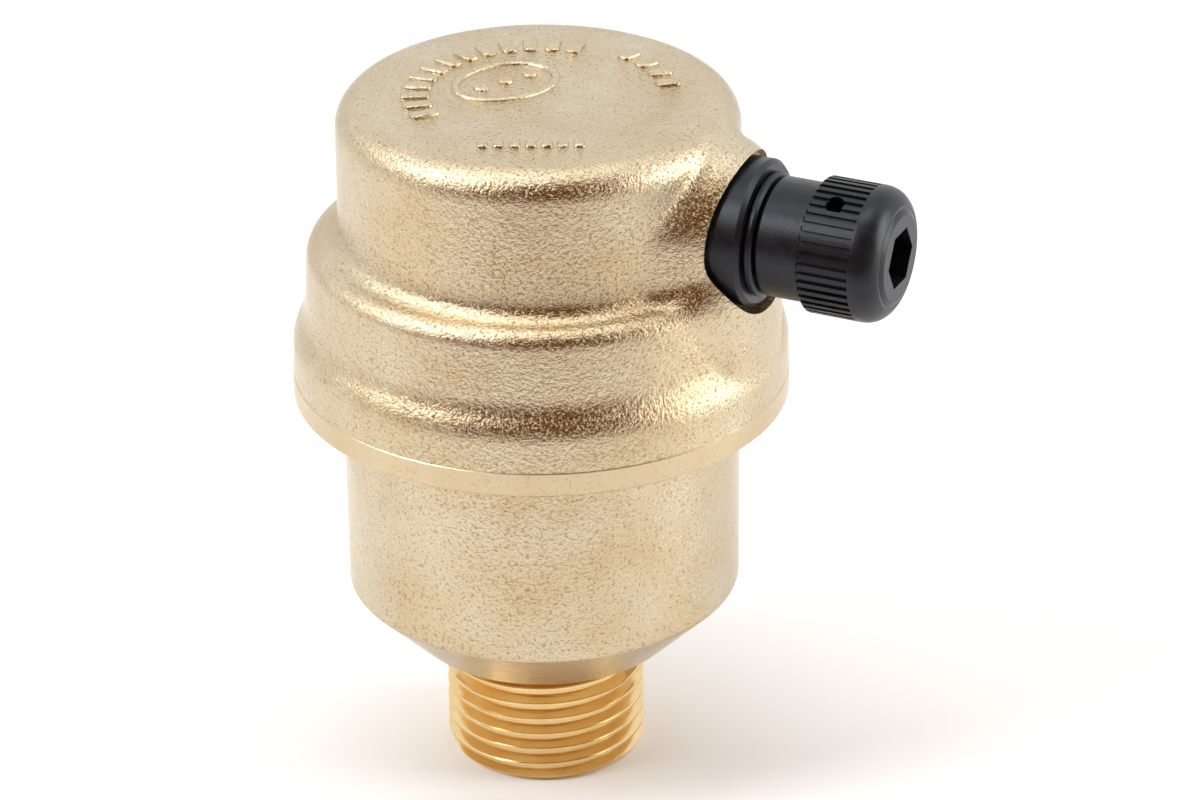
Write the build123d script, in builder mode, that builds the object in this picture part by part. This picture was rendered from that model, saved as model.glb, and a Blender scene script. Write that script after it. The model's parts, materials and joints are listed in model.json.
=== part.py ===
"""Automatic air vent with a side outlet: brass float chamber on a G 1/2 thread, plastic vent head.

Millimetres. The origin is the centre of the inlet's end face, +Z runs up through the float
chamber, and +X runs out along the axis of the vent head.
"""
from build123d import *
import math
import os

# ---------------------------------------------------------------- driving dimensions
# inlet thread, G 1/2 external, 55 degree form
THREAD_PITCH = 1.8143
THREAD_MAJOR_R = 10.4775
THREAD_DEPTH = 1.162
THREAD_CREST_DROP = 0.03
FLANK_SLOPE = math.tan(math.radians(27.5))
CREST_BEVEL = 0.12
RIDGE_EMBED = 0.15
THREAD_PHASE = -65.0
THREAD_CREST_Z = 9.48
THREAD_END_CHAMFER_R = 0.75
THREAD_END_CHAMFER_Z = 1.1
COLLAR_LENGTH = 1.3
INLET_BORE_R = 7.5

# lower body
BODY_SHOULDER_Z = 14.1
BODY_SHOULDER_R = 14.1
BODY_EDGE_Z = 20.55
BODY_R = 20.58
BODY_WALL = 2.3
BODY_EDGE_FILLET = 0.6
FLANGE_R = 25.7
FLANGE_BOTTOM_Z = 42.3
JOINT_Z = 44.9
FLANGE_CHAMFER = 0.15
JOINT_THREAD_R = 22.9
JOINT_THREAD_TOP_Z = 51.0
JOINT_THREAD_PITCH = 1.5
JOINT_THREAD_DEPTH = 0.8
JOINT_GROOVE_HALF = 0.48
GROOVE_OVERSHOOT = 0.2
JOINT_CLEARANCE = 0.06
SEAL_GROOVE_R = 21.6
SEAL_GROOVE_HEIGHT = 1.9

# cover
COVER_TOP_Z = 74.8
TOP_FILLET = 3.1
TIER_1_TOP_R = 20.6
TIER_1_BOTTOM_R = 20.66
STEP_1_TOP_Z = 61.0
STEP_1_BOTTOM_Z = 57.6
STEP_1_HOLLOW = 0.7
TIER_2_TOP_R = 23.92
TIER_2_BOTTOM_R = 24.23
STEP_2_TOP_Z = 52.0
STEP_2_BOTTOM_Z = 47.9
STEP_2_HOLLOW = 0.4
TIER_3_TOP_R = 25.6
TIER_3_BOTTOM_R = 25.65
COVER_WALL = 2.6
CAVITY_1_R = 17.8
CAVITY_2_R = 21.2

# side boss and vent head, measured along X from the body axis
VENT_Z = 64.0
BOSS_R = 9.3
BOSS_FACE_X = 25.4
BOSS_EDGE_FILLET = 5.2
RECESS_R = 8.2
RECESS_FLOOR_X = 21.8
BOSS_BORE_R = 6.05

# plain raised marks of the casting on the cover top, turned from +X by MARK_TURN
MARK_TURN = 25.0
MARK_HEIGHT = 0.3
MARK_EMBED = 0.3
LONG_ARC_R = 12.4
LONG_ARC_BAR = (3.0, 1.0)
LONG_ARC_COUNT = 13
LONG_ARC_START = 72.0
LONG_ARC_STEP = 11.0
SHORT_ARC_R = 13.4
SHORT_ARC_BAR = (2.3, 1.0)
SHORT_ARC_COUNT = 4
SHORT_ARC_START = 10.0
SHORT_ARC_STEP = 12.0
BADGE_CENTRE = (-3.3, 3.2)
BADGE_TURN = 35.0
BADGE_RADII = (5.8, 4.6)
BADGE_LINE = 0.7
BADGE_DOT_R = 0.8
BADGE_DOT_GAP = 3.0
BADGE_DOT_COUNT = 3
ROW_CENTRE = (-0.6, -12.7)
ROW_BAR = (0.75, 1.5)
ROW_STEP = 1.6
ROW_COUNT = 7

# vent insert
FLANGE_RING_R = 7.55
FLANGE_RING_THICKNESS = 3.4
COLLAR_RING_R = 6.35
COLLAR_RING_THICKNESS = 0.9
NECK_R = 4.6
NOZZLE_R = 4.0
NOZZLE_PITCH = 1.25
NOZZLE_DEPTH = 0.45
NOZZLE_GROOVE_HALF = 0.32
NOZZLE_END_X = 33.2
BARREL_R = 5.95
BARREL_INNER_X = 11.9
CHAMBER_R = 4.1
CHAMBER_END_X = 19.6
AIR_BORE_R = 1.6
SEAT_R = 2.6
SEAT_FACE_X = 18.8
SEAT_LENGTH = 3.2
SEAT_BORE_R = 0.9
EAR_THICKNESS = 1.0
EAR_INNER_Y = 2.2
EAR_DROP = 4.7
EAR_END_X = 7.0

# cap
CAP_START_X = 26.4
CAP_SKIRT_R = 6.1
CAP_HEAD_X = 31.1
CAP_HEAD_R = 6.95
CAP_KNURL_END_X = 36.9
CAP_FACE_X = 39.6
CAP_CHAMBER_TOP_X = 34.2
CAP_THREAD_CLEARANCE = 0.08
HEX_ACROSS_FLATS = 5.5
HEX_DEPTH = 3.1
KNURL_COUNT = 44
KNURL_DEPTH = 0.34
CAP_HOLE_R = 0.95
CAP_HOLE_X = 33.8
CAP_HOLE_TURN = -27.0

# float and lever
FLOAT_R = 16.5
FLOAT_BOTTOM_Z = 18.6
FLOAT_BOTTOM_R = 9.0
FLOAT_CONE_TOP_Z = 26.0
FLOAT_SPLIT_Z = 47.0
FLOAT_TOP_Z = 50.0
FLOAT_WALL = 1.0
FLOAT_TRAVEL = 4.0
LONG_ARM = 8.5
SHORT_ARM = 3.6
PIN_R = 0.7
SMALL_PIN_R = 0.5
RUNNING_CLEARANCE = 0.05

# small parts
SEAL_SQUEEZE = 0.68
SEAL_GAP = 0.02
SELECT_GAP = 0.01
BAFFLE_R = 9.6
BAFFLE_THICKNESS = 0.8
BAFFLE_RIM_HEIGHT = 0.9
BAFFLE_RIM_R = 8.4
BAFFLE_HOLE_COUNT = 6
BAFFLE_HOLE_R = 1.5
BAFFLE_HOLE_CIRCLE_R = 5.6
YOKE_BASE_R = 4.5
YOKE_BASE_THICKNESS = 1.0
YOKE_INNER_Y = 1.4
YOKE_THICKNESS = 1.0
YOKE_WIDTH = 4.2
YOKE_RIM = 0.8
YOKE_SLOT_WIDTH = 1.9
YOKE_SLOT_HEIGHT = 1.3
LEVER_HUB_R = 1.4
LEVER_ARM_HALF = 0.9
LEVER_ARM_HALF_WIDTH = 1.0
FORK_INNER_Y = 1.35
FORK_THICKNESS = 0.7
FORK_HALF = 1.1
FORK_HEIGHT = 4.7
SLOT_PLAY = 0.15
SEAT_NOSE_R = 1.7
SEAL_R = 2.5
SEAL_THICKNESS = 1.5
SEAL_PROUD = 0.4
SEAL_CLOSED_GAP = 0.02
STEM_HEAD_R = 3.3
STEM_HEAD_LENGTH = 1.9
STEM_R = 1.15
STEM_TAIL = 1.3
RETAINER_X = 12.2
RETAINER_THICKNESS = 0.7
RETAINER_NOTCH_R = 1.2
RETAINER_NOTCH_COUNT = 4
RETAINER_NOTCH_TURN = 45.0
SPRING_R = 1.9
SPRING_WIRE_R = 0.18
SPRING_TURNS = 3.0
INSERT_SEAL_X = 19.9
INSERT_SEAL_WIDTH = 1.4
INSERT_SEAL_R = 5.0
FLANGE_RING_CHAMFER = 0.45
NECK_LENGTH = 0.2
COLLAR_RING_CHAMFER = 0.25
EAR_TOP = 2.0
EAR_TIP_HEIGHT = 2.2
CAP_EDGE = 0.25
CAP_SHOULDER_R = 2.6
CAP_DOME_R = 5.0
CAP_DOME_HEIGHT = 0.3
CAP_GASKET_R = 3.3
KNURL_WIDTH = 0.5

# ---------------------------------------------------------------- values that follow
THREAD_MINOR_R = THREAD_MAJOR_R - THREAD_DEPTH
THREAD_CREST_R = THREAD_MAJOR_R - THREAD_CREST_DROP
COLLAR_BOTTOM_Z = BODY_SHOULDER_Z - COLLAR_LENGTH
CAVITY_R = BODY_R - BODY_WALL
COVER_CAVITY_TOP_Z = COVER_TOP_Z - COVER_WALL
PIVOT_X = LONG_ARM
PIVOT_Z = VENT_Z - SHORT_ARM
LEVER_SWING = FLOAT_TRAVEL / LONG_ARM
REST_TILT = math.degrees(LEVER_SWING) / 2
VALVE_TRAVEL = SHORT_ARM * LEVER_SWING
HOOK_PIN_Z = PIVOT_Z - LONG_ARM * math.sin(math.radians(REST_TILT))
HOOK_PIN_X = PIVOT_X - LONG_ARM * math.cos(math.radians(REST_TILT))
STEM_PIN_X = PIVOT_X - SHORT_ARM * math.sin(math.radians(REST_TILT))
VENT_AXIS = Axis((0, 0, VENT_Z), (1, 0, 0))


def finish(part, label):
    """Name a finished piece and write it as its own STEP file."""
    part.label = label
    export_step(part, os.path.join("parts", label + ".step"))


def vent_station(distance):
    """The plane square to the vent axis at a distance from the body axis."""
    return Plane(origin=(distance, 0, VENT_Z), x_dir=(0, 1, 0), z_dir=(1, 0, 0))


def step_arcs(start, end, hollow):
    """Draw a step: a hollow arc, then a round one. hollow is the first one's share of the step."""
    width = end[0] - start[0]
    height = start[1] - end[1]
    radii = (height ** 2 / width + width) / 2
    middle = (start[0] + hollow * width, start[1] - hollow * height)
    RadiusArc(start, middle, -hollow * radii)
    RadiusArc(middle, end, (1 - hollow) * radii)


os.makedirs("parts", exist_ok=True)

# ---------------------------------------------------------------- lower body
with BuildPart() as thread_ridge:
    crest_half = THREAD_PITCH / 4 - THREAD_DEPTH / 2 * FLANK_SLOPE
    root_half = THREAD_PITCH / 4 + THREAD_DEPTH / 2 * FLANK_SLOPE
    start_z = (THREAD_CREST_Z - THREAD_PITCH * THREAD_PHASE / 360) % THREAD_PITCH - THREAD_PITCH
    turns = math.floor((BODY_SHOULDER_Z - root_half - start_z) / THREAD_PITCH)
    with BuildLine() as ridge_path:
        Helix(THREAD_PITCH, THREAD_PITCH * turns, THREAD_MINOR_R, center=(0, 0, start_z))
    with BuildSketch(Plane(origin=(0, 0, start_z), x_dir=(1, 0, 0), z_dir=(0, -1, 0))):
        with BuildLine():
            inner_r = THREAD_MINOR_R - RIDGE_EMBED
            bevel_r = THREAD_CREST_R - CREST_BEVEL
            bevel_half = crest_half + CREST_BEVEL * FLANK_SLOPE
            Polyline(
                (THREAD_CREST_R, CREST_BEVEL),
                (bevel_r, bevel_half),
                (inner_r, root_half),
                (inner_r, -root_half),
                (bevel_r, -bevel_half),
                (THREAD_CREST_R, -CREST_BEVEL),
                close=True,
            )
        make_face()
    sweep(path=ridge_path.line, is_frenet=True)
    # the end face and its chamfer trim the first turn, the collar takes in the last
    with BuildSketch(Plane.XZ):
        with BuildLine():
            Polyline(
                (0, 0),
                (THREAD_MAJOR_R - THREAD_END_CHAMFER_R, 0),
                (THREAD_MAJOR_R, THREAD_END_CHAMFER_Z),
                (THREAD_MAJOR_R, BODY_SHOULDER_Z),
                (0, BODY_SHOULDER_Z),
                close=True,
            )
        make_face()
    revolve(axis=Axis.Z, mode=Mode.INTERSECT)

with BuildPart() as lower_body:
    with BuildSketch(Plane.XZ):
        with BuildLine():
            Polyline(
                (INLET_BORE_R, 0),
                (THREAD_MINOR_R, 0),
                (THREAD_MINOR_R, COLLAR_BOTTOM_Z),
                (THREAD_MAJOR_R, COLLAR_BOTTOM_Z),
                (THREAD_MAJOR_R, BODY_SHOULDER_Z),
                (BODY_SHOULDER_R, BODY_SHOULDER_Z),
                (BODY_R, BODY_EDGE_Z),
                (BODY_R, FLANGE_BOTTOM_Z),
                (FLANGE_R, FLANGE_BOTTOM_Z),
                (FLANGE_R, JOINT_Z),
                (SEAL_GROOVE_R, JOINT_Z),
                (SEAL_GROOVE_R, JOINT_Z + SEAL_GROOVE_HEIGHT),
                (JOINT_THREAD_R, JOINT_Z + SEAL_GROOVE_HEIGHT),
                (JOINT_THREAD_R, JOINT_THREAD_TOP_Z),
                (CAVITY_R, JOINT_THREAD_TOP_Z),
                (CAVITY_R, BODY_EDGE_Z + BODY_WALL),
                (BODY_SHOULDER_R - BODY_WALL, BODY_SHOULDER_Z + BODY_WALL),
                (INLET_BORE_R, BODY_SHOULDER_Z + BODY_WALL),
                close=True,
            )
        make_face()
    revolve(axis=Axis.Z)
    body_edges = lower_body.edges().filter_by(GeomType.CIRCLE)
    edge_ring = ShapeList(e for e in body_edges if abs(e.radius - BODY_R) < SELECT_GAP).sort_by(Axis.Z)[0]
    fillet(edge_ring, BODY_EDGE_FILLET)
    rim_ring = [
        e for e in lower_body.edges().filter_by(GeomType.CIRCLE)
        if abs(e.radius - FLANGE_R) < SELECT_GAP
    ]
    chamfer(rim_ring, FLANGE_CHAMFER)
    # simplified rings of the joint thread
    groove_count = int((JOINT_THREAD_TOP_Z - JOINT_Z - SEAL_GROOVE_HEIGHT) / JOINT_THREAD_PITCH)
    for index in range(groove_count):
        groove_z = JOINT_THREAD_TOP_Z - JOINT_THREAD_PITCH / 2 - index * JOINT_THREAD_PITCH
        with BuildSketch(Plane.XZ):
            with BuildLine():
                Polyline(
                    (JOINT_THREAD_R + GROOVE_OVERSHOOT, groove_z - JOINT_GROOVE_HALF),
                    (JOINT_THREAD_R - JOINT_THREAD_DEPTH, groove_z),
                    (JOINT_THREAD_R + GROOVE_OVERSHOOT, groove_z + JOINT_GROOVE_HALF),
                    close=True,
                )
            make_face()
        revolve(axis=Axis.Z, mode=Mode.SUBTRACT)
    add(thread_ridge.part)
finish(lower_body.part, "lower_body")

# ---------------------------------------------------------------- cover
# the hollow inside the cover: joint thread, two steps of the float chamber
with BuildPart() as chamber:
    with BuildSketch(Plane.XZ):
        with BuildLine():
            Polyline(
                (0, JOINT_Z - 1),
                (JOINT_THREAD_R + JOINT_CLEARANCE, JOINT_Z - 1),
                (JOINT_THREAD_R + JOINT_CLEARANCE, JOINT_THREAD_TOP_Z + JOINT_CLEARANCE),
                (CAVITY_2_R, JOINT_THREAD_TOP_Z + JOINT_CLEARANCE),
                (CAVITY_2_R, STEP_1_BOTTOM_Z - COVER_WALL),
                (CAVITY_1_R, STEP_1_BOTTOM_Z + COVER_WALL / 2),
                (CAVITY_1_R, COVER_CAVITY_TOP_Z - COVER_WALL),
                (CAVITY_1_R - COVER_WALL, COVER_CAVITY_TOP_Z),
                (0, COVER_CAVITY_TOP_Z),
                close=True,
            )
        make_face()
    revolve(axis=Axis.Z)

with BuildPart() as boss_lobe:
    with BuildSketch(vent_station(PIVOT_X)):
        with BuildLine():
            Polyline(
                (-BOSS_R, 0),
                (-BOSS_R, JOINT_Z - VENT_Z),
                (BOSS_R, JOINT_Z - VENT_Z),
                (BOSS_R, 0),
            )
            ThreePointArc((BOSS_R, 0), (0, BOSS_R), (-BOSS_R, 0))
        make_face()
    extrude(amount=2 * BOSS_FACE_X)
    with BuildSketch(Plane.XY.offset(JOINT_Z)):
        Circle(BOSS_FACE_X)
    extrude(amount=COVER_TOP_Z, mode=Mode.INTERSECT)
    face_edges = [
        e for e in boss_lobe.edges()
        if e.center().X > BOSS_FACE_X - BOSS_EDGE_FILLET and e.center().Z > JOINT_Z + 1
    ]
    fillet(face_edges, BOSS_EDGE_FILLET)
    add(chamber.part, mode=Mode.SUBTRACT)

with BuildPart() as cover:
    with BuildSketch(Plane.XZ):
        with BuildLine():
            Line((0, JOINT_Z), (0, COVER_TOP_Z))
            Line((0, COVER_TOP_Z), (TIER_1_TOP_R - TOP_FILLET, COVER_TOP_Z))
            RadiusArc(
                (TIER_1_TOP_R - TOP_FILLET, COVER_TOP_Z), (TIER_1_TOP_R, COVER_TOP_Z - TOP_FILLET), TOP_FILLET
            )
            Line((TIER_1_TOP_R, COVER_TOP_Z - TOP_FILLET), (TIER_1_BOTTOM_R, STEP_1_TOP_Z))
            step_arcs((TIER_1_BOTTOM_R, STEP_1_TOP_Z), (TIER_2_TOP_R, STEP_1_BOTTOM_Z), STEP_1_HOLLOW)
            Line((TIER_2_TOP_R, STEP_1_BOTTOM_Z), (TIER_2_BOTTOM_R, STEP_2_TOP_Z))
            step_arcs((TIER_2_BOTTOM_R, STEP_2_TOP_Z), (TIER_3_TOP_R, STEP_2_BOTTOM_Z), STEP_2_HOLLOW)
            Line((TIER_3_TOP_R, STEP_2_BOTTOM_Z), (TIER_3_BOTTOM_R, JOINT_Z))
            Line((TIER_3_BOTTOM_R, JOINT_Z), (0, JOINT_Z))
        make_face()
    revolve(axis=Axis.Z)
    add(chamber.part, mode=Mode.SUBTRACT)
    # full radius lobe that runs from the skirt up to the side boss
    add(boss_lobe.part)
    # the machined recess and bore of the boss
    with BuildSketch(vent_station(RECESS_FLOOR_X)):
        Circle(RECESS_R)
    extrude(amount=BOSS_FACE_X, mode=Mode.SUBTRACT)
    with BuildSketch(vent_station(RECESS_FLOOR_X)):
        Circle(BOSS_BORE_R)
    extrude(amount=-(RECESS_FLOOR_X - BARREL_INNER_X), mode=Mode.SUBTRACT)
    # plain raised marks: two arcs of bars, an oval ring with dots, a short row of bars
    with BuildSketch(Plane.XY.offset(COVER_TOP_Z - MARK_EMBED).rotated((0, 0, MARK_TURN))):
        long_arc = (LONG_ARC_COUNT - 1) * LONG_ARC_STEP
        short_arc = (SHORT_ARC_COUNT - 1) * SHORT_ARC_STEP
        with PolarLocations(LONG_ARC_R, LONG_ARC_COUNT, LONG_ARC_START, long_arc, endpoint=True):
            RectangleRounded(*LONG_ARC_BAR, LONG_ARC_BAR[1] / 3)
        with PolarLocations(SHORT_ARC_R, SHORT_ARC_COUNT, SHORT_ARC_START, short_arc, endpoint=True):
            RectangleRounded(*SHORT_ARC_BAR, SHORT_ARC_BAR[1] / 3)
        with Locations(Location(BADGE_CENTRE, BADGE_TURN)):
            Ellipse(*BADGE_RADII)
            Ellipse(BADGE_RADII[0] - BADGE_LINE, BADGE_RADII[1] - BADGE_LINE, mode=Mode.SUBTRACT)
            with GridLocations(BADGE_DOT_GAP, 0, BADGE_DOT_COUNT, 1):
                Circle(BADGE_DOT_R)
        with Locations(ROW_CENTRE):
            with GridLocations(ROW_STEP, 0, ROW_COUNT, 1):
                RectangleRounded(*ROW_BAR, ROW_BAR[0] / 3)
    extrude(amount=MARK_EMBED + MARK_HEIGHT)
finish(cover.part, "cover")

# ---------------------------------------------------------------- seals of the body
with BuildPart() as body_o_ring:
    ring_section_r = SEAL_GROOVE_HEIGHT / 2
    with BuildSketch(Plane.XZ):
        with Locations((SEAL_GROOVE_R + ring_section_r * SEAL_SQUEEZE, JOINT_Z + ring_section_r)):
            Ellipse(ring_section_r * SEAL_SQUEEZE - SEAL_GAP, ring_section_r - SEAL_GAP)
    revolve(axis=Axis.Z)
finish(body_o_ring.part, "body_o_ring")

# ---------------------------------------------------------------- inlet baffle
with BuildPart() as inlet_baffle:
    baffle_floor_z = BODY_SHOULDER_Z + BODY_WALL
    # low rim that stands on the floor around the inlet bore
    with BuildSketch(Plane.XY.offset(baffle_floor_z)):
        Circle(BAFFLE_R)
        Circle(BAFFLE_RIM_R, mode=Mode.SUBTRACT)
    extrude(amount=BAFFLE_RIM_HEIGHT)
    # perforated plate that breaks the flow under the float
    with BuildSketch(Plane.XY.offset(baffle_floor_z + BAFFLE_RIM_HEIGHT)):
        Circle(BAFFLE_R)
        with PolarLocations(BAFFLE_HOLE_CIRCLE_R, BAFFLE_HOLE_COUNT):
            Circle(BAFFLE_HOLE_R, mode=Mode.SUBTRACT)
    extrude(amount=BAFFLE_THICKNESS)
finish(inlet_baffle.part, "inlet_baffle")

# ---------------------------------------------------------------- float
with BuildPart() as float_shell:
    with BuildSketch(Plane.XZ):
        with BuildLine():
            Polyline(
                (0, FLOAT_BOTTOM_Z),
                (FLOAT_BOTTOM_R, FLOAT_BOTTOM_Z),
                (FLOAT_R, FLOAT_CONE_TOP_Z),
                (FLOAT_R, FLOAT_SPLIT_Z),
                (FLOAT_R - FLOAT_WALL, FLOAT_SPLIT_Z),
                (FLOAT_R - FLOAT_WALL, FLOAT_CONE_TOP_Z + FLOAT_WALL / 2),
                (FLOAT_BOTTOM_R - FLOAT_WALL / 2, FLOAT_BOTTOM_Z + FLOAT_WALL),
                (0, FLOAT_BOTTOM_Z + FLOAT_WALL),
                close=True,
            )
        make_face()
    revolve(axis=Axis.Z)
finish(float_shell.part, "float_shell")

with BuildPart() as float_lid:
    with BuildSketch(Plane.XZ):
        with BuildLine():
            spigot_r = FLOAT_R - FLOAT_WALL - SEAL_GAP
            Polyline(
                (0, FLOAT_TOP_Z),
                (FLOAT_R - FLOAT_WALL, FLOAT_TOP_Z),
                (FLOAT_R, FLOAT_TOP_Z - FLOAT_WALL),
                (FLOAT_R, FLOAT_SPLIT_Z),
                (spigot_r, FLOAT_SPLIT_Z),
                (spigot_r, FLOAT_SPLIT_Z - 2 * FLOAT_WALL),
                (spigot_r - FLOAT_WALL, FLOAT_SPLIT_Z - 2 * FLOAT_WALL),
                (spigot_r - FLOAT_WALL, FLOAT_TOP_Z - FLOAT_WALL),
                (0, FLOAT_TOP_Z - FLOAT_WALL),
                close=True,
            )
        make_face()
    revolve(axis=Axis.Z)
    # raised ring that the yoke snaps into
    with BuildSketch(Plane.XY.offset(FLOAT_TOP_Z)):
        Circle(YOKE_BASE_R + FLOAT_WALL)
        Circle(YOKE_BASE_R, mode=Mode.SUBTRACT)
    extrude(amount=YOKE_BASE_THICKNESS)
finish(float_lid.part, "float_lid")

with BuildPart() as float_yoke:
    with BuildSketch(Plane.XY.offset(FLOAT_TOP_Z)):
        Circle(YOKE_BASE_R)
    extrude(amount=YOKE_BASE_THICKNESS)
    yoke_height = HOOK_PIN_Z + YOKE_SLOT_HEIGHT / 2 + YOKE_RIM - FLOAT_TOP_Z
    for side in (-1, 1):
        arm_y = side * (YOKE_INNER_Y + YOKE_THICKNESS / 2)
        with BuildSketch(Plane(origin=(0, arm_y, FLOAT_TOP_Z), x_dir=(1, 0, 0), z_dir=(0, -1, 0))):
            with Locations((0, yoke_height / 2)):
                Rectangle(YOKE_WIDTH, yoke_height)
            with Locations((0, HOOK_PIN_Z - FLOAT_TOP_Z)):
                Rectangle(YOKE_SLOT_WIDTH, YOKE_SLOT_HEIGHT, mode=Mode.SUBTRACT)
        extrude(amount=YOKE_THICKNESS / 2, both=True)
finish(float_yoke.part, "float_yoke")

# ---------------------------------------------------------------- lever
with BuildPart() as float_lever:
    # drawn with the long arm level and the short arm upright, then tilted to rest
    with BuildSketch(Plane(origin=(PIVOT_X, 0, PIVOT_Z), x_dir=(1, 0, 0), z_dir=(0, -1, 0))):
        Circle(LEVER_HUB_R)
        with Locations((-LONG_ARM / 2, 0)):
            SlotCenterToCenter(LONG_ARM, 2 * LEVER_ARM_HALF)
    extrude(amount=LEVER_ARM_HALF_WIDTH, both=True)
    for side in (-1, 1):
        fork_y = side * (FORK_INNER_Y + FORK_THICKNESS / 2)
        with BuildSketch(Plane(origin=(PIVOT_X, fork_y, PIVOT_Z), x_dir=(1, 0, 0), z_dir=(0, -1, 0))):
            Circle(LEVER_HUB_R)
            with Locations((0, FORK_HEIGHT / 2)):
                Rectangle(2 * FORK_HALF, FORK_HEIGHT)
            with Locations((0, SHORT_ARM + FORK_HEIGHT / 2)):
                slot_width = 2 * (SMALL_PIN_R + RUNNING_CLEARANCE)
                Rectangle(slot_width, FORK_HEIGHT + 2 * SMALL_PIN_R + 4 * SLOT_PLAY, mode=Mode.SUBTRACT)
        extrude(amount=FORK_THICKNESS / 2, both=True)
    with BuildSketch(Plane(origin=(PIVOT_X, 0, PIVOT_Z), x_dir=(1, 0, 0), z_dir=(0, -1, 0))):
        Circle(LEVER_HUB_R)
    extrude(amount=FORK_INNER_Y + FORK_THICKNESS, both=True)
    with BuildSketch(Plane(origin=(PIVOT_X, 0, PIVOT_Z), x_dir=(1, 0, 0), z_dir=(0, -1, 0))):
        Circle(PIN_R + RUNNING_CLEARANCE)
        with Locations((-LONG_ARM, 0)):
            Circle(SMALL_PIN_R)
    extrude(amount=FORK_INNER_Y + 2 * FORK_THICKNESS, both=True, mode=Mode.SUBTRACT)
lever_at_rest = float_lever.part.rotate(Axis((PIVOT_X, 0, PIVOT_Z), (0, 1, 0)), -REST_TILT)
finish(lever_at_rest, "float_lever")

with BuildPart() as lever_pivot_pin:
    with BuildSketch(Plane(origin=(PIVOT_X, 0, PIVOT_Z), x_dir=(1, 0, 0), z_dir=(0, -1, 0))):
        Circle(PIN_R)
    extrude(amount=EAR_INNER_Y + EAR_THICKNESS, both=True)
finish(lever_pivot_pin.part, "lever_pivot_pin")

with BuildPart() as lever_hook_pin:
    with BuildSketch(Plane(origin=(HOOK_PIN_X, 0, HOOK_PIN_Z), x_dir=(1, 0, 0), z_dir=(0, -1, 0))):
        Circle(SMALL_PIN_R)
    extrude(amount=YOKE_INNER_Y + YOKE_THICKNESS + SMALL_PIN_R, both=True)
finish(lever_hook_pin.part, "lever_hook_pin")

# ---------------------------------------------------------------- valve
with BuildPart() as valve_seat:
    with BuildSketch(vent_station(SEAT_FACE_X)):
        Circle(SEAT_NOSE_R)
        Circle(SEAT_BORE_R, mode=Mode.SUBTRACT)
    extrude(amount=CHAMBER_END_X - SEAT_FACE_X)
    with BuildSketch(vent_station(CHAMBER_END_X)):
        Circle(SEAT_R)
        Circle(SEAT_BORE_R, mode=Mode.SUBTRACT)
    extrude(amount=SEAT_LENGTH - CHAMBER_END_X + SEAT_FACE_X)
finish(valve_seat.part, "valve_seat")

seal_face_x = SEAT_FACE_X - VALVE_TRAVEL - SEAL_CLOSED_GAP
with BuildPart() as valve_seal:
    with BuildSketch(vent_station(seal_face_x - SEAL_THICKNESS)):
        Circle(SEAL_R)
    extrude(amount=SEAL_THICKNESS)
finish(valve_seal.part, "valve_seal")

stem_head_x = seal_face_x - SEAL_PROUD
with BuildPart() as valve_stem:
    with BuildSketch(vent_station(stem_head_x - STEM_HEAD_LENGTH)):
        Circle(STEM_HEAD_R)
    extrude(amount=STEM_HEAD_LENGTH)
    with BuildSketch(vent_station(seal_face_x - SEAL_THICKNESS)):
        Circle(SEAL_R)
    extrude(amount=SEAL_THICKNESS, mode=Mode.SUBTRACT)
    with BuildSketch(vent_station(STEM_PIN_X - STEM_TAIL)):
        Circle(STEM_R)
    extrude(amount=stem_head_x - STEM_HEAD_LENGTH - STEM_PIN_X + STEM_TAIL)
    with BuildSketch(Plane(origin=(STEM_PIN_X, 0, VENT_Z), x_dir=(1, 0, 0), z_dir=(0, -1, 0))):
        Circle(SMALL_PIN_R)
    extrude(amount=STEM_R, both=True, mode=Mode.SUBTRACT)
finish(valve_stem.part, "valve_stem")

with BuildPart() as stem_pin:
    with BuildSketch(Plane(origin=(STEM_PIN_X, 0, VENT_Z), x_dir=(1, 0, 0), z_dir=(0, -1, 0))):
        Circle(SMALL_PIN_R)
    extrude(amount=FORK_INNER_Y + FORK_THICKNESS, both=True)
finish(stem_pin.part, "stem_pin")

with BuildPart() as spring_retainer:
    with BuildSketch(vent_station(RETAINER_X)):
        Circle(CHAMBER_R)
        Circle(STEM_R + 2 * RUNNING_CLEARANCE, mode=Mode.SUBTRACT)
        with PolarLocations(CHAMBER_R, RETAINER_NOTCH_COUNT, start_angle=RETAINER_NOTCH_TURN):
            Circle(RETAINER_NOTCH_R, mode=Mode.SUBTRACT)
    extrude(amount=RETAINER_THICKNESS)
finish(spring_retainer.part, "spring_retainer")

with BuildPart() as valve_spring:
    spring_start = RETAINER_X + RETAINER_THICKNESS + SPRING_WIRE_R + SEAL_GAP
    spring_end = stem_head_x - STEM_HEAD_LENGTH - SPRING_WIRE_R - SEAL_GAP
    with BuildLine() as spring_path:
        Helix(
            (spring_end - spring_start) / SPRING_TURNS,
            spring_end - spring_start,
            SPRING_R,
            center=(spring_start, 0, VENT_Z),
            direction=(1, 0, 0),
        )
    with BuildSketch(Plane(origin=spring_path.line @ 0, z_dir=spring_path.line % 0)):
        Circle(SPRING_WIRE_R)
    sweep(path=spring_path.line, is_frenet=True)
finish(valve_spring.part, "valve_spring")

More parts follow.
